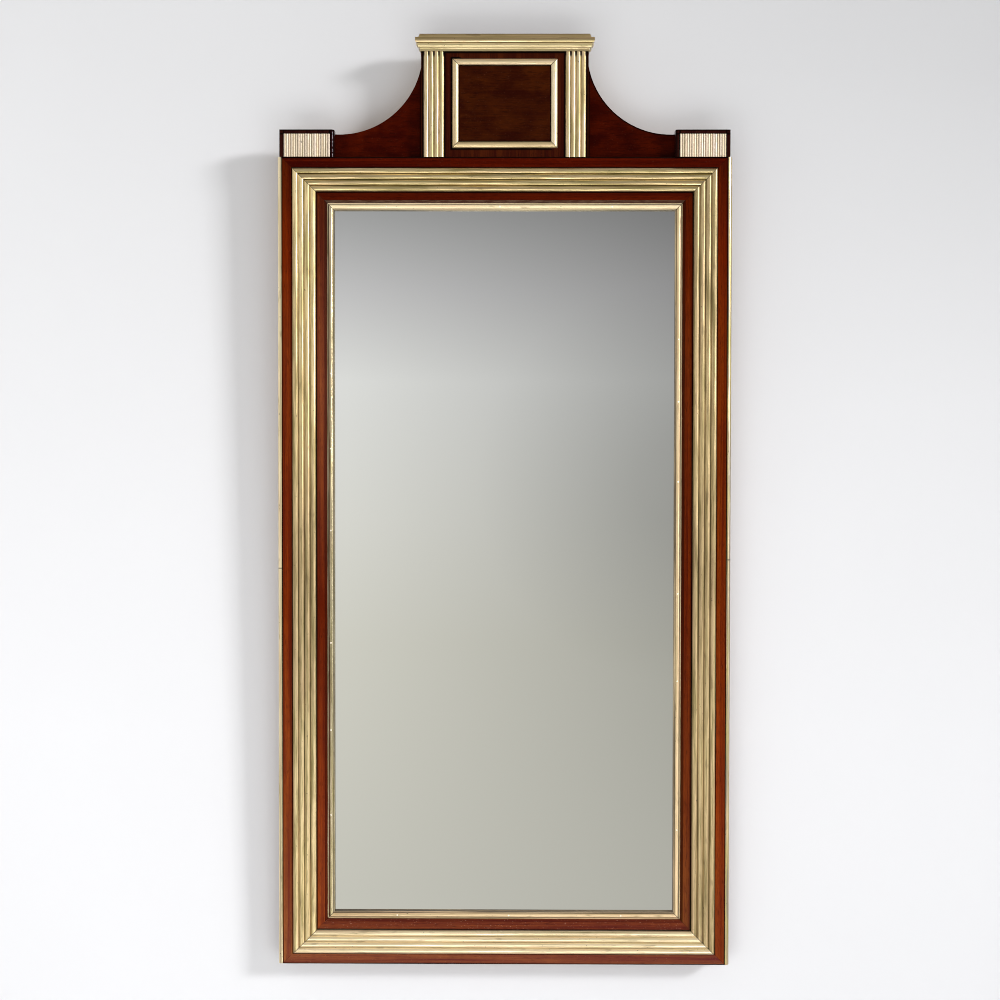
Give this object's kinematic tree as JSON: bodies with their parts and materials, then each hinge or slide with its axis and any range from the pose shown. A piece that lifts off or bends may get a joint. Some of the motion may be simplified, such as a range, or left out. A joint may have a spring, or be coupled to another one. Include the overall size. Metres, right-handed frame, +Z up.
{
  "type": "wall mirror",
  "caption": "Upright neoclassical wall mirror: mahogany frame with reeded brass mouldings, scrolled crest with a brass-edged tablet and cornice, reeded corner plaques.",
  "frame": {"origin": "middle of the back of the bottom rail, in the plane of the wall", "axes": "+X to the viewer's right, +Y towards the wall, +Z up; the mirror faces -Y"},
  "size_m": [0.634, 0.0573, 1.3019],
  "materials": {
    "mahogany": "French-polished mahogany",
    "brass": "drawn brass, polished, lightly aged",
    "pine": "bare pine, aged",
    "iron": "dark worn iron",
    "mirror": "silvered plate glass"
  },
  "bodies": {
    "frame": {"stile_left": "pine", "stile_right": "pine", "rail_bottom": "pine", "rail_top": "pine", "side_facing_left": "mahogany", "side_facing_right": "mahogany", "bottom_facing": "mahogany", "outer_band_bottom": "mahogany", "outer_band_right": "mahogany", "outer_band_top": "mahogany", "outer_band_left": "mahogany", "inner_band_bottom": "mahogany", "inner_band_right": "mahogany", "inner_band_top": "mahogany", "inner_band_left": "mahogany", "reeded_moulding_bottom": "brass", "reeded_moulding_right": "brass", "reeded_moulding_top": "brass", "reeded_moulding_left": "brass", "reeded_cores": "pine", "sight_bead_bottom": "brass", "sight_bead_right": "brass", "sight_bead_top": "brass", "sight_bead_left": "brass", "bead_pins": "brass", "edge_strip_left_lower": "brass", "edge_strip_left_upper": "brass", "edge_strip_right_lower": "brass", "edge_strip_right_upper": "brass", "crest_board": "pine", "crest_veneer": "mahogany", "tablet_block": "mahogany", "tablet_panel": "mahogany", "tablet_moulding_bottom": "brass", "tablet_moulding_right": "brass", "tablet_moulding_top": "brass", "tablet_moulding_left": "brass", "pilaster_left": "brass", "pilaster_right": "brass", "cornice_core": "mahogany", "cornice_front": "brass", "cornice_return_left": "brass", "cornice_return_right": "brass", "corner_block_left": "mahogany", "corner_block_right": "mahogany", "corner_plaque_left": "brass", "corner_plaque_right": "brass", "mirror_plate": "mirror", "glazing_blocks": "pine", "back_board_bottom": "pine", "back_board_middle": "pine", "back_board_top": "pine", "back_nails": "iron", "crest_batten_left": "pine", "crest_batten_right": "pine", "wood_screws": "iron", "hanger_strap_left": "iron", "hanger_strap_right": "iron"},
    "ring_left": {"hanger_ring_left": "iron"},
    "ring_right": {"hanger_ring_right": "iron"}
  },
  "joints": [
    {"name": "ring_left_turn", "type": "hinge", "parent": "frame", "child": "ring_left", "pos_m": [-0.2864, 0.00368, 0.9379], "axis": [1, 0, 0], "range_deg": [0, 180]},
    {"name": "ring_right_turn", "type": "hinge", "parent": "frame", "child": "ring_right", "pos_m": [0.2864, 0.00368, 0.9379], "axis": [1, 0, 0], "range_deg": [0, 180]}
  ]
}
